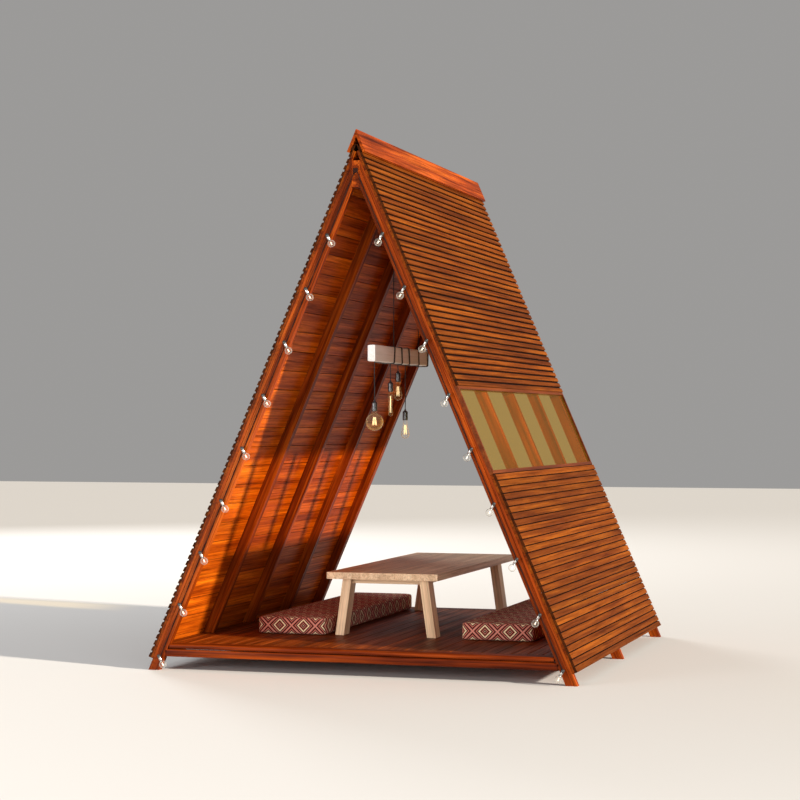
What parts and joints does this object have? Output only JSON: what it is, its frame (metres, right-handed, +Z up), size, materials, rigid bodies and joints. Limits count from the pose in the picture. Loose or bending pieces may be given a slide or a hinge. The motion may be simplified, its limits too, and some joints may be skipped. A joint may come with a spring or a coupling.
{
  "type": "open-ended a-frame garden cabin",
  "caption": "Open-ended timber A-frame cabin with lapped boards on both slopes, a glazed band on one, a raised deck, a low table with floor pads, and hanging lamps.",
  "frame": {"origin": "on the ground, at the middle of the overall box", "axes": "+Z up, +X across the open front, the front faces -Y, and the window is on the +X slope"},
  "size_m": [2.3812, 2.5419, 2.8955],
  "materials": {
    "rafter_wood": "glossy red-brown stain",
    "lining_wood": "satin orange-brown stain",
    "cladding_wood": "satin red-orange stain, weathered",
    "ridge_wood": "satin red-brown stain",
    "window_wood": "satin dark red-brown stain",
    "window_glass": "clear, slightly amber",
    "deck_wood": "satin dark stain",
    "bar_wood": "pale squared timber",
    "cord_black": "braided black",
    "holder_metal": "black, semi-gloss",
    "lamp_glass": "clear amber",
    "string_plastic": "black",
    "string_glass": "clear, warm",
    "table_wood": "weathered, oiled",
    "kilim_fabric": "flat-woven wool, maroon and cream"
  },
  "bodies": {
    "root": {"rafter_left_1": "rafter_wood", "rafter_right_1": "rafter_wood", "rafter_left_2": "rafter_wood", "rafter_right_2": "rafter_wood", "rafter_left_3": "rafter_wood", "rafter_right_3": "rafter_wood", "rafter_left_4": "rafter_wood", "rafter_right_4": "rafter_wood", "rafter_left_5": "rafter_wood", "rafter_right_5": "rafter_wood", "ridge_beam": "rafter_wood", "ridge_board_left": "ridge_wood", "ridge_board_right": "ridge_wood", "lining_left": "lining_wood", "lining_right_lower": "lining_wood", "lining_right_upper": "lining_wood", "cladding_left": "cladding_wood", "cladding_right_lower": "cladding_wood", "cladding_right_upper": "cladding_wood", "window_frame": "window_wood", "window_pane": "window_glass", "deck": "deck_wood", "front_fascia": "rafter_wood", "back_fascia": "rafter_wood", "floor_joist_2": "rafter_wood", "floor_joist_3": "rafter_wood", "floor_joist_4": "rafter_wood", "light_bar": "bar_wood", "bar_hangers": "cord_black", "bar_windings": "cord_black", "globe_lamp_cord": "cord_black", "tube_lamp_cord": "cord_black", "drop_lamp_cord": "cord_black", "far_lamp_cord": "cord_black", "lamp_holders": "holder_metal", "lamp_bulbs": "lamp_glass", "string_cable": "string_plastic", "string_sockets": "string_plastic", "string_bulbs_left": "string_glass", "string_bulbs_right": "string_glass", "table_top": "table_wood", "table_frame": "table_wood", "floor_pad_left": "kilim_fabric", "floor_pad_right": "kilim_fabric"}
  },
  "joints": []
}
